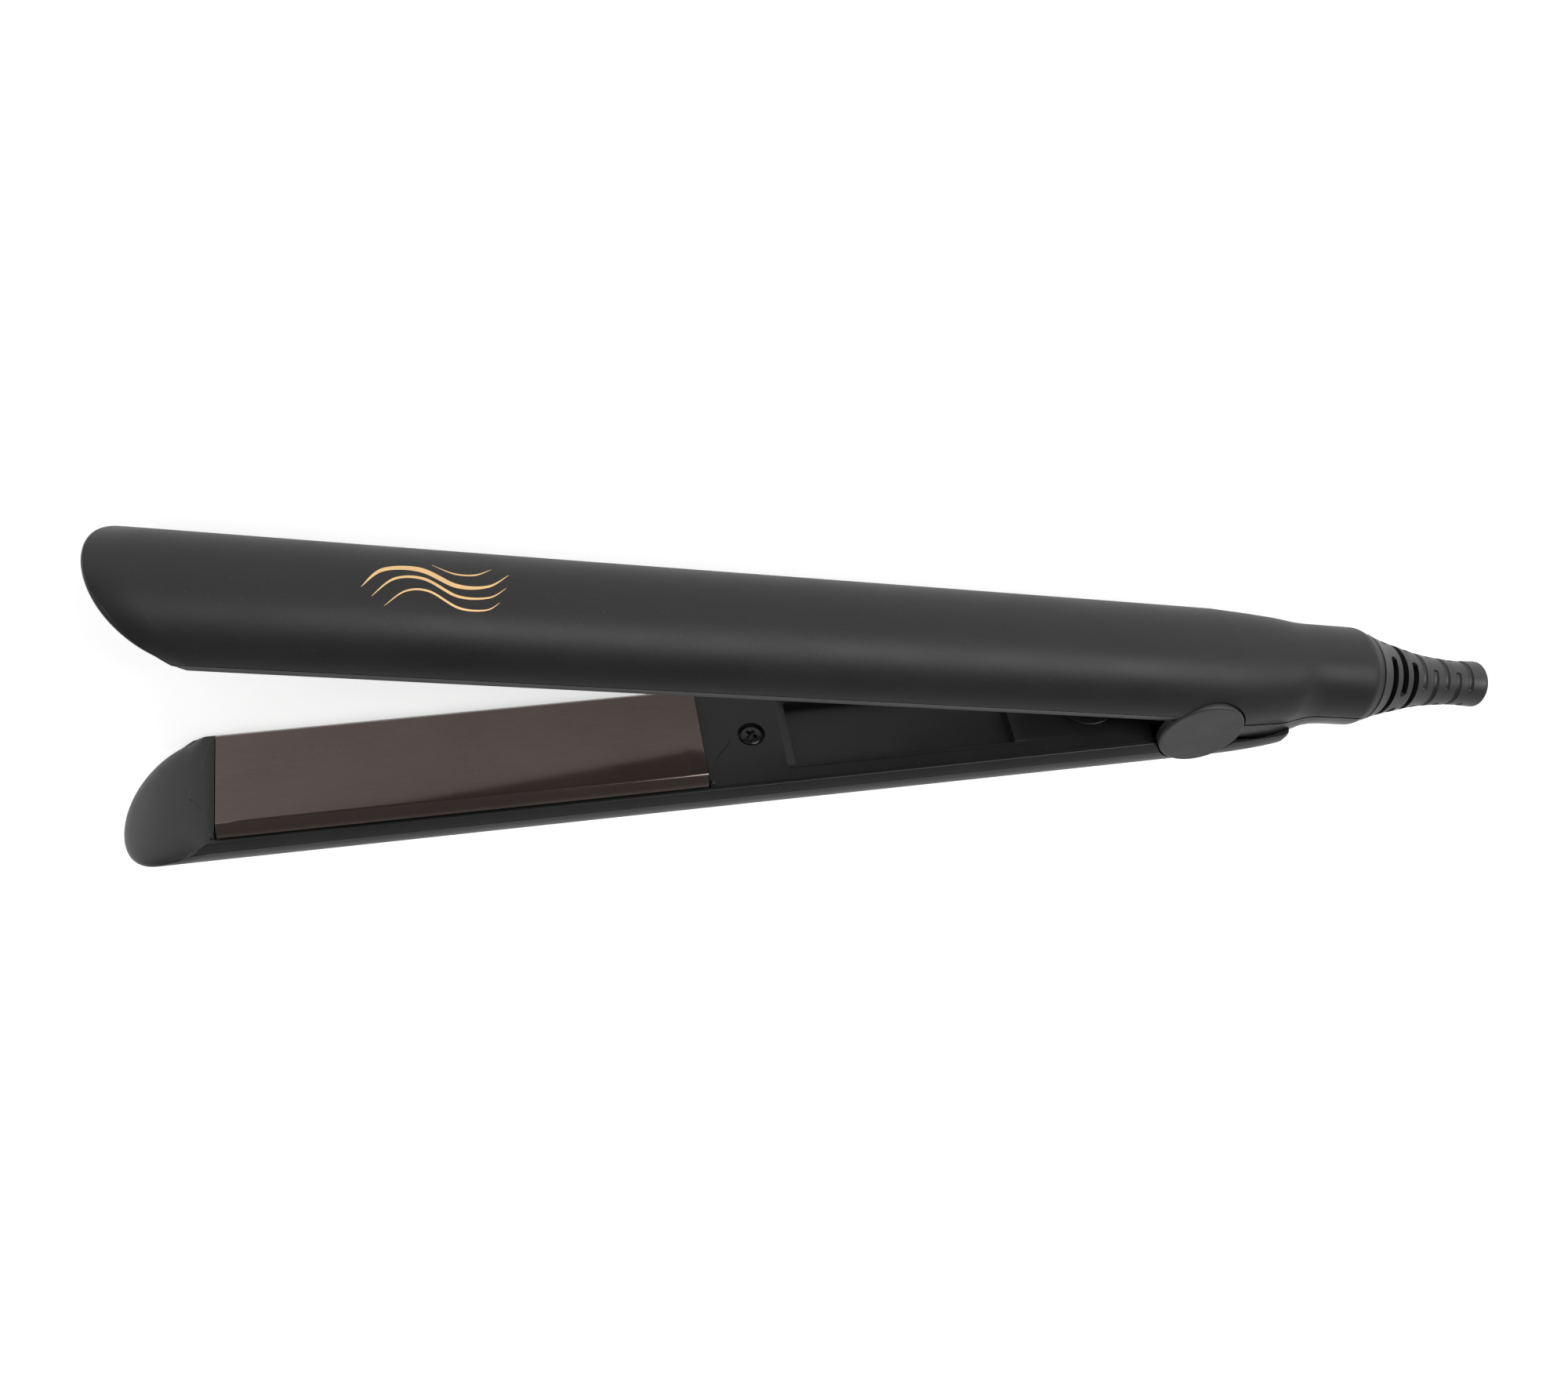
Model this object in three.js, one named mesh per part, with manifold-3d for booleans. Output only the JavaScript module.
// Flat iron (hair straightener), 1 inch plates, lying on its side, open at rest.
// Millimetres. +Z is the hinge axis, +X runs along the upper arm to the cord end,
// +Y goes into the back of the upper arm. The origin is on the hinge axis, on the
// outer face of the lower hinge cap, which is the plane the iron rests on.
import * as THREE from 'three';
import { mergeVertices } from 'three/addons/utils/BufferGeometryUtils.js';
import Module from 'manifold-3d';

const wasm = await Module();
wasm.setup();

// ---------------------------------------------------------------- driving sizes
const OPEN_DEG = 13.7;        // angle between the arms at rest, held by the opening spring
const ZC = 14.35;             // height of the middle plane = half the width over the hinge caps
const ZH = 3.09;              // hinge axis to the inner cover face of either arm
const PLATE_L = 100, PLATE_W = 25, PLATE_PROUD = 2.95;
const PLATE_X1 = -108.75, PLATE_X0 = PLATE_X1 - PLATE_L;
const BODY_HALF = 14.16;      // half width of an arm at its parting line
const FACE_HALF = 13.4;       // half width of the inner cover face
const T_PART = 2.24;          // depth of the parting line below the cover face
const WALL = 1.8;             // casing wall
const NECK_R = 11.2, AXIS_T = 2.9;   // round neck at the cord end
const NECK_END = 43.4;
const TIP_A = [-213.4, 0], TIP_B = [-230.5, 13];  // slanted tip, cover face to outer ridge
const HINGE_R = 9.95;         // round recess of both arms around the hinge
const CAP_R = 9.65;
const PIN_R = 2.0;
const BARREL_R = 6.3;
const X_SCREW = -97.6;        // front cover screw
const X_REAR = -22;           // opening spring seat and rear cover screw
const TRAVEL = 1.0;           // float of each plate
const GAP = 0.3;

const OPEN = THREE.MathUtils.degToRad(OPEN_DEG);

// ---------------------------------------------------------------- solids from three geometry
function solid(g) {
  let h = g.clone();
  for (const k of Object.keys(h.attributes)) if (k !== 'position') h.deleteAttribute(k);
  h = mergeVertices(h, 1e-4);
  return new wasm.Manifold(new wasm.Mesh({
    numProp: 3,
    vertProperties: new Float32Array(h.attributes.position.array),
    triVerts: new Uint32Array(h.index.array),
  }));
}
function geometry(m) {
  const k = m.getMesh();
  const g = new THREE.BufferGeometry();
  g.setAttribute('position', new THREE.BufferAttribute(new Float32Array(k.vertProperties), 3));
  g.setIndex(new THREE.BufferAttribute(new Uint32Array(k.triVerts), 1));
  return g;
}
// mirror a geometry in y, keeping its faces pointing out
function mirrored(g) {
  const h = g.clone();
  h.scale(1, -1, 1);
  const i = h.index.array;
  for (let k = 0; k < i.length; k += 3) [i[k + 1], i[k + 2]] = [i[k + 2], i[k + 1]];
  return h;
}
const at = (g, x, y, z) => g.translate(x, y, z);
const box = (x0, x1, t0, t1, s0, s1) =>
  solid(at(new THREE.BoxGeometry(x1 - x0, t1 - t0, s1 - s0), (x0 + x1) / 2, (t0 + t1) / 2, (s0 + s1) / 2));
const cylT = (r, t0, t1, x, s, n = 24) =>
  solid(at(new THREE.CylinderGeometry(r, r, t1 - t0, n), x, (t0 + t1) / 2, s));
const cylS = (r, s0, s1, x, t, n = 32) =>
  solid(at(new THREE.CylinderGeometry(r, r, s1 - s0, n).rotateX(Math.PI / 2), x, t, (s0 + s1) / 2));
const cylX = (r, x0, x1, t, s, n = 32) =>
  solid(at(new THREE.CylinderGeometry(r, r, x1 - x0, n).rotateZ(Math.PI / 2), (x0 + x1) / 2, t, s));
const mix = (a, b, u) => a + (b - a) * u;
const curve = (knots, x) => {
  if (x <= knots[0][0]) return knots[0][1];
  for (let i = 1; i < knots.length; i++)
    if (x <= knots[i][0]) return mix(knots[i - 1][1], knots[i][1], (x - knots[i - 1][0]) / (knots[i][0] - knots[i - 1][0]));
  return knots[knots.length - 1][1];
};

// a closed skin through rings of equal point count; each ring is {x, p: [[t, s], ...]}
function loft(rings) {
  const n = rings[0].p.length, pos = [], idx = [];
  for (const r of rings) for (const [t, s] of r.p) pos.push(r.x, t, s);
  for (let k = 0; k + 1 < rings.length; k++)
    for (let i = 0; i < n; i++) {
      const a = k * n + i, b = k * n + (i + 1) % n, c = a + n, d = b + n;
      idx.push(a, c, b, b, c, d);
    }
  for (const [k, flip] of [[0, false], [rings.length - 1, true]]) {
    const ring = rings[k].p.map(([t, s]) => new THREE.Vector2(t, s));
    const turn = THREE.ShapeUtils.isClockWise(ring);
    for (const f of THREE.ShapeUtils.triangulateShape(ring, [])) {
      const same = THREE.ShapeUtils.isClockWise(f.map(i => ring[i])) === turn;
      idx.push(...(same !== flip ? f : [f[0], f[2], f[1]]).map(i => i + k * n));
    }
  }
  const g = new THREE.BufferGeometry();
  g.setAttribute('position', new THREE.BufferAttribute(new Float32Array(pos), 3));
  g.setIndex(idx);
  return g;
}
// turn the skin right side out whichever way its rings run
function closed(g) {
  const p = g.attributes.position, i = g.index.array, a = new THREE.Vector3(), b = new THREE.Vector3(), c = new THREE.Vector3();
  let v = 0;
  for (let k = 0; k < i.length; k += 3) {
    a.fromBufferAttribute(p, i[k]); b.fromBufferAttribute(p, i[k + 1]); c.fromBufferAttribute(p, i[k + 2]);
    v += a.dot(b.cross(c));
  }
  if (v < 0) for (let k = 0; k < i.length; k += 3) [i[k + 1], i[k + 2]] = [i[k + 2], i[k + 1]];
  return g;
}

// ---------------------------------------------------------------- outer form of the arms
const N_TOP = 20, N_LOW = 9;
const DEPTH_U = [[-232, 13.8], [-150, 14.0], [-60, 14.55], [0, 14.75], [45, 14.75]];
const DEPTH_L = [[-232, 14.0], [-100, 14.05], [-50, 14.25], [5, 14.3], [10, 14.1], [15, 13.65], [20, 12.9], [24, 11.9], [28, 10.5], [30, 9.6]];
const HALF_L = [[-232, BODY_HALF], [8, BODY_HALF], [14, 14.0], [20, 13.6], [24, 13.0], [30, 11.8]];
const NECK = [[32, NECK_R], [40.6, NECK_R], [41.4, 11.05], [NECK_END, 10.32], [50, 10.32]];
// how far the arm's section has changed into the round neck, and the line where its two halves meet
const NARROW = [[4, 0], [8, 0.12], [12, 0.235], [16, 0.39], [19, 0.51], [21.5, 0.66], [23.5, 0.83], [25.5, 0.94], [27.5, 1]];
const PARTING = [[4.9, 0.15], [20.5, 0.15], [22.5, 0.35], [26.5, 1.2], [28.5, 1.5], [60, 1.5]];

function dRing(x, w, depth, d) {
  const p = [], top = depth - d, half = w - d;
  for (let i = 0; i <= N_TOP; i++) {
    const f = Math.PI * i / N_TOP;
    p.push([T_PART + (top - T_PART) * Math.sin(f), half * Math.cos(f)]);
  }
  const f = (w - (BODY_HALF - FACE_HALF)) - d;
  for (let j = 0; j < N_LOW; j++) p.push([d, mix(-f, f, j / (N_LOW - 1))]);
  return { x, p };
}
function upperRing(x, d) {
  if (x < 4) return dRing(x, BODY_HALF, curve(DEPTH_U, x), d);
  const u = curve(NARROW, x), p = [];
  const rn = curve(NECK, x), e = 2 / (2 + 1.2 * (1 - u));     // boxier underneath until it is round
  const half = mix(BODY_HALF, rn, u) - d, tc = mix(T_PART, AXIS_T, u);
  const top = mix(curve(DEPTH_U, x), AXIS_T + rn, u) - d, low = mix(-8.5, AXIS_T - rn, u) + d;
  for (let i = 0; i <= N_TOP; i++) {
    const f = Math.PI * i / N_TOP;
    p.push([tc + (top - tc) * Math.sin(f), half * Math.cos(f)]);
  }
  for (let j = 1; j <= N_LOW; j++) {
    const f = Math.PI + Math.PI * j / (N_LOW + 1);
    p.push([tc - (tc - low) * Math.abs(Math.sin(f)) ** e, half * Math.sign(Math.cos(f)) * Math.abs(Math.cos(f)) ** e]);
  }
  return { x, p };
}
const X_UP = [-232, -150, -105, -60, 0, 3.99, 4, 8, 12, 16, 19, 21.5, 23.5, 25.5, 27.5, 33, 40.6, 41.4, NECK_END];
// everything on the deep (sg 1) or shallow (sg -1) side of the neck's parting line, moved by d in depth
function besideParting(sg, d) {
  const line = PARTING.map(([x, t]) => [x, t + d]);
  const pts = [...line, [60, sg * 20], [4.9, sg * 20]].map(([x, t]) => new THREE.Vector2(x, t));
  const g = new THREE.ExtrudeGeometry(new THREE.Shape(pts), { depth: 40, bevelEnabled: false });
  return solid(at(g, 0, 0, -20));
}
const upperForm = (d, xs) => closed(loft(xs.map(x => upperRing(x, d))));
const X_LO = [-232, -100, -50, 5, 10, 15, 20, 24, 28, 30];
const lowerForm = (d, xs) => closed(loft(xs.map(x => dRing(x, curve(HALF_L, x), curve(DEPTH_L, x), d))));

// everything beyond a slanted plane at the tip, `inset` behind the line from TIP_A to TIP_B
const tipLen = Math.hypot(TIP_B[0] - TIP_A[0], TIP_B[1] - TIP_A[1]);
const tipN = [-(TIP_B[1] - TIP_A[1]) / tipLen, (TIP_B[0] - TIP_A[0]) / tipLen];
const tipMid = [(TIP_A[0] + TIP_B[0]) / 2, (TIP_A[1] + TIP_B[1]) / 2];
function beyondTip(inset) {
  const g = new THREE.BoxGeometry(60, 90, 60);
  g.rotateZ(Math.atan2(tipN[1], tipN[0]));
  return solid(at(g, tipMid[0] + tipN[0] * (30 - inset), tipMid[1] + tipN[1] * (30 - inset), 0));
}
// the crowned face of the nose: an ellipsoid through TIP_A and TIP_B
function noseBall() {
  const R = 42, sag = R - Math.sqrt(R * R - (tipLen / 2) ** 2);
  const g = new THREE.SphereGeometry(R, 72, 36);
  g.rotateX(Math.PI / 2);
  g.scale(1, 1, 2);
  return solid(at(g, tipMid[0] - tipN[0] * (R - sag), tipMid[1] - tipN[1] * (R - sag), 0));
}

// ---------------------------------------------------------------- casings
const TIP_CASING = 1.6;
function screwBoss(x, outer) {
  return cylT(3.2, 2.5, 14, x, 0, 20).intersect(outer);
}
function upperCasing() {
  const outer = solid(upperForm(0, X_UP));
  const cavity = solid(upperForm(WALL, [-240, ...X_UP.slice(1, -3), 36.6]));
  let m = outer.subtract(cavity);
  m = m.add(screwBoss(X_SCREW, outer)).add(screwBoss(X_REAR, outer));
  m = m.subtract(box(-240, 5, -12, T_PART + 0.1, -20, 20));
  m = m.subtract(besideParting(-1, 0));
  m = m.subtract(beyondTip(TIP_CASING));
  m = m.subtract(cylS(HINGE_R, -20, 20, 0, -ZH, 48));
  m = m.subtract(cylX(6.5, 30, 50, AXIS_T, 0, 32));
  m = m.subtract(cylT(1.55, 0, 11, X_SCREW, 0, 16)).subtract(cylT(1.55, 0, 11, X_REAR, 0, 16));
  return m;
}
function coverPlate(outer) {
  let m = outer.intersect(box(-240, 4.5, -1, T_PART - 0.1, -20, 20));
  m = m.subtract(beyondTip(TIP_CASING - GAP));
  const nose = outer.intersect(beyondTip(TIP_CASING - GAP)).intersect(noseBall());
  m = m.add(nose);
  // recess that the plate sinks into, and the window for its heater channel
  m = m.subtract(box(PLATE_X0 - 0.35, PLATE_X1 + 0.35, -2, 1.1, -12.8, 12.8));
  m = m.subtract(box(PLATE_X0 + 2.2, PLATE_X1 - 2.2, 0, 4, -10, 10));
  // front screw counterbore, rear spring seat and screw holes
  m = m.subtract(cylT(3.0, -2, 1.3, X_SCREW, 0, 24)).subtract(cylT(1.55, 0, 4, X_SCREW, 0, 16));
  m = m.subtract(cylT(4.6, -2, 0.8, X_REAR, 0, 24)).subtract(cylT(1.55, 0, 4, X_REAR, 0, 16));
  return m;
}
function upperInnerCover() {
  const outer = solid(upperForm(0, X_UP));
  const cavity = solid(upperForm(WALL, [-240, ...X_UP.slice(1, -3), 36.6]));
  let m = coverPlate(outer);
  // cut-outs for the switch, the indicator and the dial shaft
  m = m.subtract(box(-82.3, -67.7, -2, 4, -4.8, 4.8));
  m = m.subtract(cylT(1.9, -2, 4, -61, 0, 20)).subtract(cylT(2.0, -2, 4, -50, 0, 20));
  // lower half of the neck
  const neck = outer.subtract(cavity).intersect(besideParting(-1, -0.3)).subtract(cylX(6.5, 30, 50, AXIS_T, 0, 32));
  m = m.add(neck).subtract(cylS(HINGE_R, -20, 20, 0, -ZH, 48));
  // two hinge lugs, joined to the plate in front and to the neck behind
  for (const k of [-1, 1]) {
    const s0 = Math.min(k * 8.9, k * 11.5), s1 = Math.max(k * 8.9, k * 11.5);
    let lug = cylS(BARREL_R, s0, s1, 0, -ZH, 32);
    lug = lug.add(box(-16, 0, 0.05, T_PART - 0.1, s0, s1));
    lug = lug.add(box(4, 13.5, -7, -0.15, s0, s1).intersect(outer));
    m = m.add(lug);
  }
  return m.subtract(cylS(PIN_R + GAP, -20, 20, 0, -ZH, 24));
}
// the upper arm's outer form grown by d, seen from the lower arm at rest
function neckSeenFromLower(d) {
  const g = upperForm(-d, [4, 8, 12, 16, 19, 21.5, 23.5, 25.5, 27.5, 33, 45]);
  g.translate(0, ZH, 0);
  g.rotateZ(-OPEN);
  const h = mirrored(g);
  h.translate(0, -ZH, 0);
  return solid(h);
}
function lowerCasing() {
  const outer = solid(lowerForm(0, X_LO));
  const cavity = solid(lowerForm(WALL, [-240, -100, -50, 5, 9]));
  let m = outer.subtract(cavity);
  m = m.add(screwBoss(X_SCREW, outer)).add(screwBoss(X_REAR, outer));
  m = m.subtract(box(-240, 5, -12, T_PART + 0.1, -20, 20));
  m = m.subtract(box(4.9, 60, -20, 1.5, -20, 20));
  m = m.subtract(beyondTip(TIP_CASING));
  m = m.subtract(cylS(HINGE_R, -20, 20, 0, -ZH, 48));
  m = m.subtract(neckSeenFromLower(0.45));
  m = m.intersect(box(-240, 0, -10, 20, -20, 20).add(cylT(30, -10, 20, -4.4, 0, 96)));
  m = m.subtract(cylT(1.55, 0, 11, X_SCREW, 0, 16)).subtract(cylT(1.55, 0, 11, X_REAR, 0, 16));
  return m;
}
function lowerInnerCover() {
  const outer = solid(lowerForm(0, X_LO));
  let m = coverPlate(outer);
  // clearance pocket for the controls of the upper arm
  m = m.add(box(-92.2, -36.6, 1.0, 4.5, -10.2, 10.2));
  m = m.subtract(box(-89.2, -40.1, -1, 3.3, -8.2, 8.2));
  const bevel = new THREE.BufferGeometry();
  const q = [[-91.2, -0.01, -9.2], [-37.5, -0.01, -9.2], [-37.5, -0.01, 9.2], [-91.2, -0.01, 9.2],
    [-89.2, 1.2, -8.2], [-40.1, 1.2, -8.2], [-40.1, 1.2, 8.2], [-89.2, 1.2, 8.2]];
  bevel.setAttribute('position', new THREE.BufferAttribute(new Float32Array(q.flat()), 3));
  bevel.setIndex([0, 1, 2, 0, 2, 3, 4, 6, 5, 4, 7, 6, 0, 4, 5, 0, 5, 1, 1, 5, 6, 1, 6, 2, 2, 6, 7, 2, 7, 3, 3, 7, 4, 3, 4, 0]);
  m = m.subtract(solid(closed(bevel)));
  m = m.subtract(cylS(HINGE_R, -20, 20, 0, -ZH, 48));
  // one central hinge barrel
  let lug = cylS(BARREL_R, -7.7, 7.7, 0, -ZH, 32);
  lug = lug.add(box(-16, 0, 0.05, T_PART - 0.1, -7.7, 7.7));
  m = m.add(lug);
  return m.subtract(cylS(PIN_R + GAP, -20, 20, 0, -ZH, 24));
}

// ---------------------------------------------------------------- plates and what moves with them
function heatPlate() {
  // slab with rounded long edges over a U-shaped heater channel, one extrusion
  const h = PLATE_PROUD, shape = [];
  const edge = (sg, rev) => {
    const e = [[-0.3, PLATE_W / 2], [-2.0, 11.55], [-2.72, 11.16], [-h, 10.83]].map(([t, s]) => [t, s * sg]);
    return rev ? e.reverse() : e;
  };
  shape.push([4.0, 9.5], [-0.3, 9.5], ...edge(1, false), ...edge(-1, true), [-0.3, -9.5], [4.0, -9.5], [4.0, -8.0], [-0.62, -8.0], [-0.62, 8.0], [4.0, 8.0]);
  const top = loft([{ x: PLATE_X0 + 2.7, p: shape }, { x: PLATE_X1 - 2.7, p: shape }]);
  let m = solid(closed(top));
  const slab = [...edge(1, false), ...edge(-1, true)];
  m = m.add(solid(closed(loft([{ x: PLATE_X0, p: slab }, { x: PLATE_X1, p: slab }]))));
  return m;
}
const heater = () => box(-205, -112.5, -0.3, 2.6, -7.6, 7.6);
const heaterClamp = () => box(-204, -113.5, 2.95, 3.8, -7.6, 7.6)
  .add(cylT(1.7, 3.5, 5.2, -188, 0, 16)).add(cylT(1.7, 3.5, 5.2, -129, 0, 16));
const thermalFuse = () => cylX(1.4, -164, -153, 5.6, 4.4, 16);
const thermistor = () => cylX(1.1, -149, -144, 5.3, -4.4, 14);

// a coil spring with its axis along t
function coil(r, wire, turns, t0, t1, x, s, seg = 10, sides = 5) {
  class Helix extends THREE.Curve {
    getPoint(u, target = new THREE.Vector3()) {
      const a = u * turns * 2 * Math.PI;
      return target.set(x + r * Math.cos(a), mix(t0 + wire, t1 - wire, u), s + r * Math.sin(a));
    }
  }
  const c = new THREE.Shape();
  for (let i = 0; i < sides; i++) {
    const a = 2 * Math.PI * i / sides;
    i ? c.lineTo(wire * Math.cos(a), wire * Math.sin(a)) : c.moveTo(wire, 0);
  }
  return new THREE.ExtrudeGeometry(c, { steps: Math.round(turns * seg), extrudePath: new Helix() });
}
function tube(points, r, sides = 6, steps = 0) {
  const c = new THREE.Shape();
  for (let i = 0; i < sides; i++) {
    const a = 2 * Math.PI * i / sides;
    i ? c.lineTo(r * Math.cos(a), r * Math.sin(a)) : c.moveTo(r, 0);
  }
  const path = new THREE.CatmullRomCurve3(points.map(p => new THREE.Vector3(...p)));
  return new THREE.ExtrudeGeometry(c, { steps: steps || (points.length - 1) * 3, extrudePath: path });
}

// ---------------------------------------------------------------- screws, pin, caps
function coverScrew(x, headT0, headT1) {
  let m = cylT(2.4, headT0, headT1, x, 0, 24).add(cylT(1.25, headT1 - 0.3, 9.5, x, 0, 16));
  for (const a of [0.7, 0.7 + Math.PI / 2]) {
    const g = new THREE.BoxGeometry(2.6, 1.4, 0.65);
    g.rotateY(a);
    m = m.subtract(solid(at(g, x, headT0, 0)));
  }
  return m;
}
const lathe = (profile, n) => {
  const g = new THREE.LatheGeometry(profile.map(([r, y]) => new THREE.Vector2(r, y)), n);
  return closed(mergeVertices(stripped(g), 1e-4));
};
function stripped(g) {
  const h = g.clone();
  for (const k of Object.keys(h.attributes)) if (k !== 'position') h.deleteAttribute(k);
  return h;
}
function annulus(r0, r1, h, n = 32) {
  return lathe([[r0, 0], [r1, 0], [r1, h], [r0, h], [r0, 0]], n);
}

// ---------------------------------------------------------------- strain relief and swivel
const RELIEF = [[43.75, 10.2], [45.65, 9.5], [49.7, 8.35], [53.1, 7.6], [56.5, 6.8], [59.9, 6.15], [63.5, 5.7], [67.2, 5.4], [70.6, 5.2], [74.4, 5.28], [77.2, 5.4]];
const RELIEF_END = 77.2;
const BORE_R = 3.1;
function strainRelief() {
  const outline = [[BORE_R, 24], [4.0, 24], [4.0, 33.6], [6.1, 33.6], [6.1, 36.2], [4.0, 36.2], [4.0, 43.75],
    ...RELIEF.map(([x, r]) => [r, x]), [BORE_R, RELIEF_END], [BORE_R, 24]];
  const g = lathe(outline, 24);          // axis along y
  g.rotateZ(-Math.PI / 2);               // y to x
  let m = solid(at(g, 0, AXIS_T, 0));
  // flexing slots with two webs each, the webs turned a quarter from one slot to the next
  for (let i = 0; i < 8; i++) {
    const x = 46.6 + 3.55 * i, deep = i < 3;
    const w = deep ? 1.9 : 1.5, floor = deep ? 4.4 : curve(RELIEF, x + w / 2) - 0.6;
    const ringG = annulus(floor, 14, w, 24);
    ringG.rotateZ(-Math.PI / 2);
    const ring = solid(at(ringG, x, AXIS_T, 0));
    const web = i % 2 ? box(x - 1, x + 3, AXIS_T - 1.5, AXIS_T + 1.5, -15, 15) : box(x - 1, x + 3, AXIS_T - 15, AXIS_T + 15, -1.5, 1.5);
    m = m.subtract(ring.subtract(web));
  }
  return m;
}
function ringOnNeck(r0, r1, x0, x1) {
  const g = annulus(r0, r1, x1 - x0, 20);
  g.rotateZ(-Math.PI / 2);
  return at(g, x0, AXIS_T, 0);
}

// ---------------------------------------------------------------- controls of the upper arm
function switchHousing() {
  // open-topped box with a bezel
  let m = box(-84, -66, -1.2, -0.3, -6.2, 6.2).add(box(-82, -68, -0.6, 4.9, -4.5, 4.5));
  m = m.subtract(box(-81, -69, -3, 4.0, -3.6, 3.6));
  return m;
}
function switchRocker() {
  // shallow V seen from the side, tilted to its off position, on a trunnion across the iron
  const shape = [[-5.6, -1.1], [0, -0.4], [5.6, -1.1], [5.0, 1.3], [1.2, 3.0], [-1.2, 3.0], [-5.0, 1.3]];
  const g = new THREE.ExtrudeGeometry(new THREE.Shape(shape.map(([a, b]) => new THREE.Vector2(a, b))), { depth: 6.4, bevelEnabled: false });
  g.translate(0, 0, -3.2);
  g.rotateZ(THREE.MathUtils.degToRad(-8));
  return at(g, -75, -0.6, 0);
}
function dial() {
  const profile = [[0, -6.4], [5.2, -6.4], [6.1, -5.8], [6.4, -4.9], [6.4, -0.6], [1.6, -0.6], [1.6, 4.1], [0, 4.1]];
  let m = solid(at(lathe(profile, 24), -50, 0, 0));
  for (let i = 0; i < 10; i++) {          // finger flutes
    const a = 2 * Math.PI * i / 10;
    m = m.subtract(cylT(0.55, -7, -1.4, -50 + 6.5 * Math.cos(a), 6.5 * Math.sin(a), 6));
  }
  const mark = new THREE.BoxGeometry(3.6, 0.6, 0.7);
  return m.subtract(solid(at(mark, -46.9, -6.4, 0)));
}

// ---------------------------------------------------------------- scene graph
const group = new THREE.Group();
const upper = new THREE.Group();           // local frame of the upper arm: x, depth t, sideways s
upper.position.set(0, ZH, ZC);
const lower = new THREE.Group();           // turned open about the hinge axis
lower.rotation.z = OPEN;
const lowerIn = new THREE.Group();
lowerIn.position.set(0, -ZH, ZC);
lower.add(lowerIn);
group.add(upper, lower);

const M = (color, roughness, metalness = 0) => new THREE.MeshStandardMaterial({ color, roughness, metalness });
const SOFT_BLACK = () => M(0x222222, 0.55);
const BLACK_ABS = () => M(0x1c1c1c, 0.6);
const STEEL = () => M(0x9a9c9e, 0.35, 1);
const DARK_STEEL = () => M(0x2a2a2a, 0.4, 0.8);
const BRASS = () => M(0xb08d4a, 0.35, 1);
const CERAMIC = () => M(0x55494a, 0.28, 0.3);
const MICA = () => M(0xb9ab8c, 0.7);

function put(name, g, material, where = upper) {
  let geo = g instanceof wasm.Manifold ? geometry(g) : g;
  if (!geo.index) geo = mergeVertices(stripped(geo), 1e-4);
  if (where === lowerIn) geo = mirrored(geo);
  const m = new THREE.Mesh(geo, material);
  m.name = name;
  where.add(m);
}
const tidy = g => closed(mergeVertices(stripped(g), 1e-4));

// upper arm
put('upper_casing', upperCasing(), SOFT_BLACK());
put('upper_inner_cover', upperInnerCover(), BLACK_ABS());
put('upper_front_screw', coverScrew(X_SCREW, -0.05, 1.05), DARK_STEEL());
put('upper_rear_screw', coverScrew(X_REAR, -0.6, 0.5), DARK_STEEL());
put('upper_heat_plate', heatPlate(), CERAMIC());
put('upper_heater', heater(), M(0xd8d2c4, 0.6));
put('upper_heater_clamp', heaterClamp(), STEEL());
put('upper_thermal_fuse', thermalFuse(), M(0xcfcfc8, 0.5));
put('thermistor', thermistor(), M(0x3b2a1d, 0.5));
put('upper_float_spring_front', tidy(coil(2.4, 0.35, 3.5, 4.15, 10.1, -188, 0)), STEEL());
put('upper_float_spring_rear', tidy(coil(2.4, 0.35, 3.5, 4.15, 10.1, -129, 0)), STEEL());
put('upper_heat_shield', box(-206, -111, 10.45, 10.95, -5, 5), MICA());
put('control_board', box(-92, -34, 5.2, 6.8, -10.2, 10.2), M(0x1f5a34, 0.5));
put('switch_housing', switchHousing(), BLACK_ABS());
put('switch_rocker', tidy(switchRocker()), M(0x151515, 0.35));
put('potentiometer', box(-55.5, -44.5, 2.5, 4.9, -5.5, 5.5).subtract(cylT(1.95, 2, 6, -50, 0, 20)), M(0x2c4f86, 0.5));
put('temperature_dial', dial(), M(0x181818, 0.45));
put('indicator_lens', cylT(1.5, -0.5, 1.7, -61, 0, 20).add(cylT(1.5, -0.5, 0.2, -61, 0, 20)), M(0xa02818, 0.15));
put('indicator_led', cylT(1.45, 2.2, 4.9, -61, 0, 16), M(0xe04030, 0.3));
put('triac', box(-63, -56, 7.1, 9.3, -5, 5), M(0x202020, 0.5));
put('filter_capacitor', box(-80, -68, 7.1, 10.0, -4, 4), M(0xb8860b, 0.5));
put('terminal_block', box(-45, -37.2, 7.1, 9.7, -7, 7), M(0x2f6f4f, 0.5));
put('supply_wire_live', tidy(tube([[31.3, 9.9, 2.95], [24, 10.0, 3.0], [14, 10.2, 3.8], [0, 9.7, 5.2], [-15, 8.9, 5.6], [-36.7, 8.4, 4.6]], 0.75)), M(0x6b3a1e, 0.5));
put('supply_wire_neutral', tidy(tube([[27.8, 9.9, -2.95], [22, 10.0, -3.1], [14, 10.2, -3.8], [0, 9.7, -5.2], [-15, 8.9, -5.6], [-36.7, 8.4, -4.6]], 0.75)), M(0x2b4f9c, 0.5));
put('upper_heater_wire_live', tidy(tube([[-111.6, 7.4, 5.6], [-104, 7.9, 6.3], [-97, 7.9, 6.3], [-92.5, 8.2, 6.0], [-83, 8.3, 5.8]], 0.7)), M(0xf0eee6, 0.5));
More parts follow.
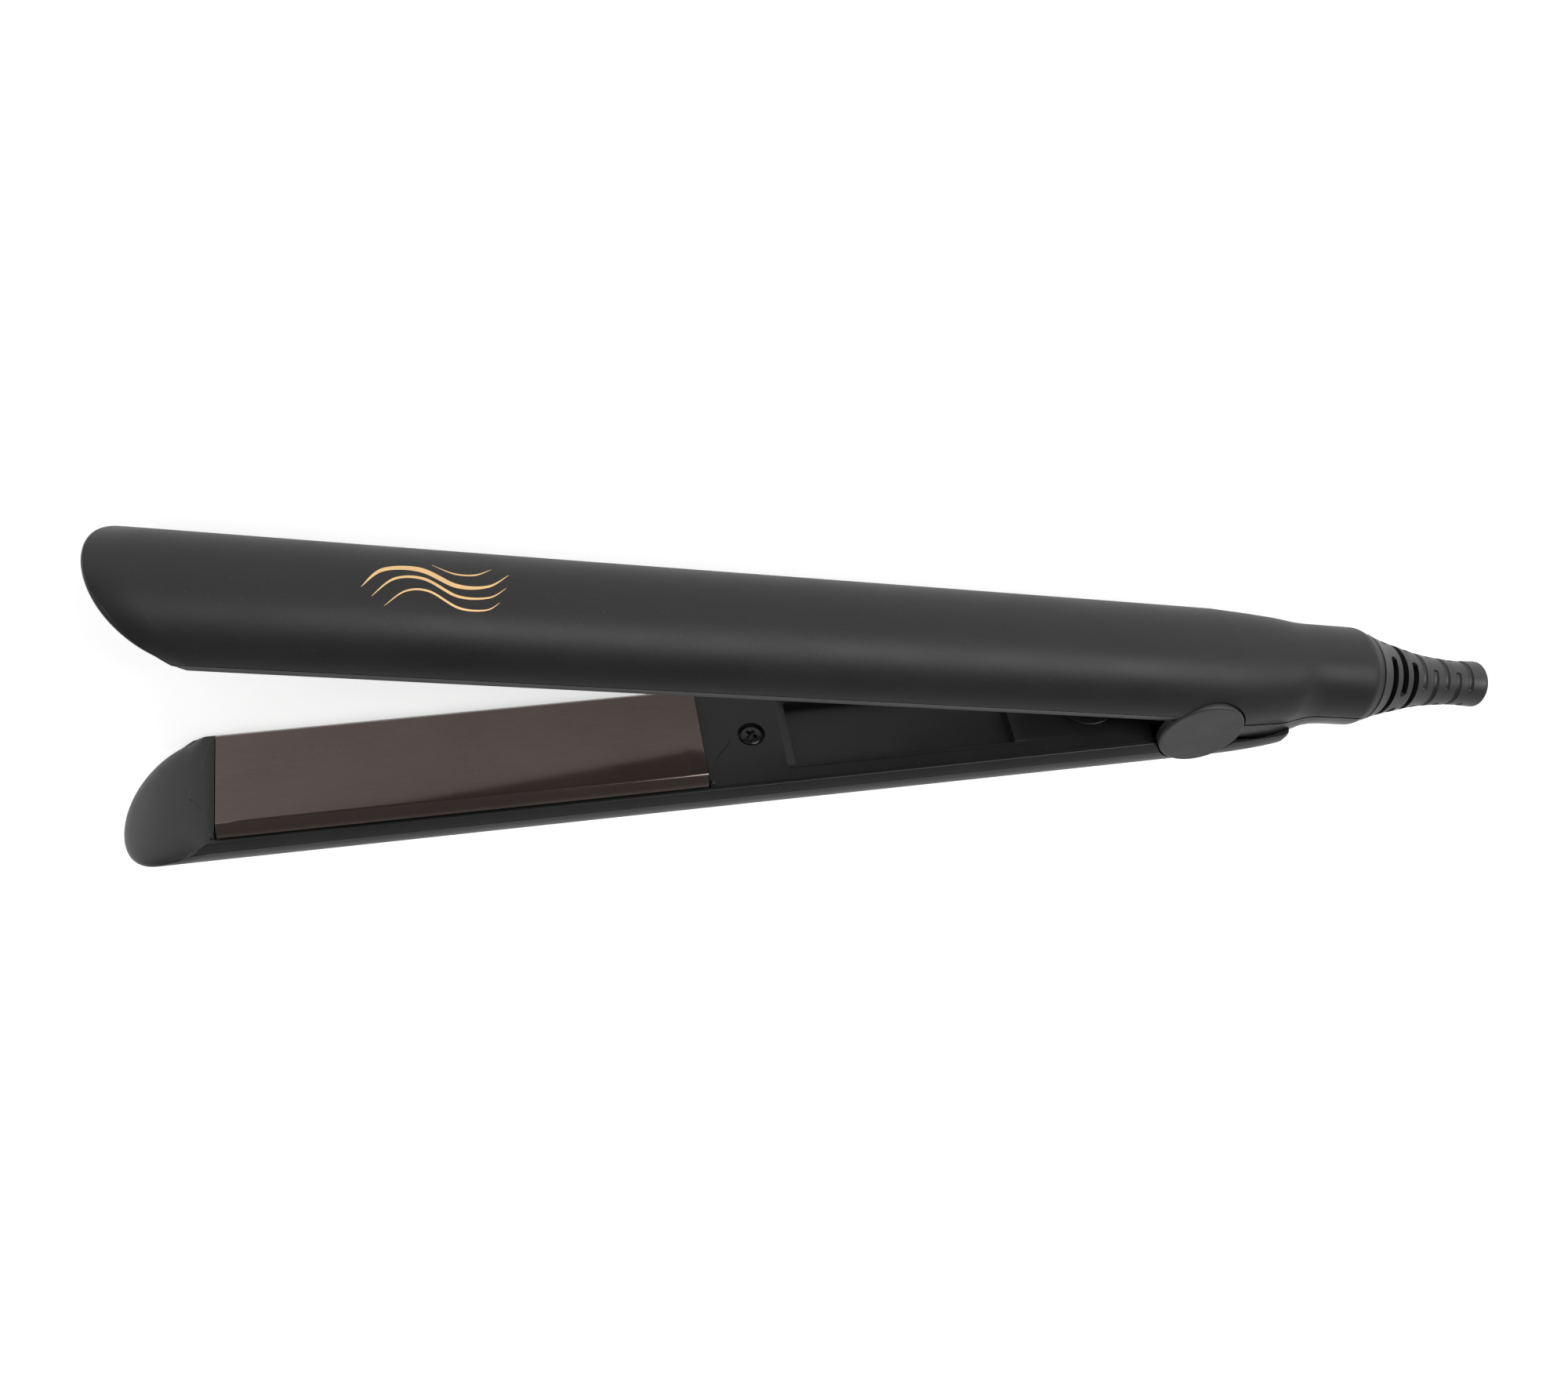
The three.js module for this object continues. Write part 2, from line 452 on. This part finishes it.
put('upper_heater_wire_neutral', tidy(tube([[-111.6, 7.4, -5.6], [-104, 7.9, -6.3], [-97, 7.9, -6.3], [-92.5, 8.2, -6.0], [-83, 8.3, -5.8]], 0.7)), M(0xf0eee6, 0.5));
put('opening_spring', tidy((() => {
  // between the two spring seats, leaning with the lower arm
  const a = new THREE.Vector3(X_REAR, 0.45, 0);
  const l = new THREE.Vector3(X_REAR, -ZH - 0.45, 0).applyAxisAngle(new THREE.Vector3(0, 0, 1), OPEN).sub(new THREE.Vector3(0, ZH, 0));
  const g = coil(3.25, 0.4, 5, 0, a.distanceTo(l), 0, 0);
  const q = new THREE.Quaternion().setFromUnitVectors(new THREE.Vector3(0, 1, 0), l.clone().sub(a).normalize());
  g.applyQuaternion(q);
  return g.translate(a.x, a.y, a.z);
})()), STEEL());

// hinge hardware, on the upper arm
put('hinge_pin', cylS(PIN_R, -11.3, 11.3, 0, -ZH, 24), STEEL());
for (const [name, k] of [['hinge_washer_bottom', -1], ['hinge_washer_top', 1]]) {
  const g = annulus(PIN_R + 0.3, 5.6, 0.6, 20).rotateX(Math.PI / 2);
  put(name, tidy(at(g, 0, -ZH, k > 0 ? 8.0 : -8.6)), M(0xe8e6dc, 0.4));
}
for (const [name, k] of [['hinge_cap_bottom', -1], ['hinge_cap_top', 1]]) {
  // flat disc with a fine bevel; its outer face is the widest point of the iron
  const g = lathe([[0, 11.8], [8.6, 11.8], [CAP_R, 12.2], [CAP_R, 13.95], [CAP_R - 0.4, ZC], [0, ZC]], 48);
  g.rotateX(k > 0 ? Math.PI / 2 : -Math.PI / 2);
  put(name, tidy(at(g, 0, -ZH, 0)), M(0x3a3a3a, 0.5));
}

// neck: bush, brushes, and the turning cord outlet
put('swivel_bush', tidy(ringOnNeck(4.3, 6.2, 36.9, 43.0)), M(0xe8e6dc, 0.4));
put('brush_contact_live', box(30.4, 32.2, AXIS_T + 5.75, AXIS_T + 8.2, -1.8, 1.8), BRASS());
put('brush_contact_neutral', box(26.9, 28.7, AXIS_T + 5.75, AXIS_T + 8.2, -1.8, 1.8), BRASS());
put('slip_ring_live', tidy(ringOnNeck(4.3, 5.4, 30.4, 32.2)), BRASS());
put('slip_ring_neutral', tidy(ringOnNeck(4.3, 5.4, 26.9, 28.7)), BRASS());
put('strain_relief', strainRelief(), M(0x1b1b1b, 0.7));

// lower arm
put('lower_casing', lowerCasing(), SOFT_BLACK(), lowerIn);
put('lower_inner_cover', lowerInnerCover(), BLACK_ABS(), lowerIn);
put('lower_front_screw', coverScrew(X_SCREW, -0.05, 1.05), DARK_STEEL(), lowerIn);
put('lower_rear_screw', coverScrew(X_REAR, -0.6, 0.5), DARK_STEEL(), lowerIn);
put('lower_heat_plate', heatPlate(), CERAMIC(), lowerIn);
put('lower_heater', heater(), M(0xd8d2c4, 0.6), lowerIn);
put('lower_heater_clamp', heaterClamp(), STEEL(), lowerIn);
put('lower_thermal_fuse', thermalFuse(), M(0xcfcfc8, 0.5), lowerIn);
put('lower_float_spring_front', tidy(coil(2.4, 0.35, 3.5, 4.15, 10.1, -188, 0)), STEEL(), lowerIn);
put('lower_float_spring_rear', tidy(coil(2.4, 0.35, 3.5, 4.15, 10.1, -129, 0)), STEEL(), lowerIn);
put('lower_heat_shield', box(-206, -111, 10.45, 10.95, -5, 5), MICA(), lowerIn);
put('lower_heater_wire_live', tidy(tube([[-111.6, 7.4, 5.6], [-104, 7.9, 6.3], [-92, 7.9, 6.3], [-50, 7.9, 6.0], [-22, 8.0, 6.0], [-12, 8.4, 5.6]], 0.7)), M(0xf0eee6, 0.5), lowerIn);
put('lower_heater_wire_neutral', tidy(tube([[-111.6, 7.4, -5.6], [-104, 7.9, -6.3], [-92, 7.9, -6.3], [-50, 7.9, -6.0], [-22, 8.0, -6.0], [-12, 8.4, -5.6]], 0.7)), M(0xf0eee6, 0.5), lowerIn);

export default group;
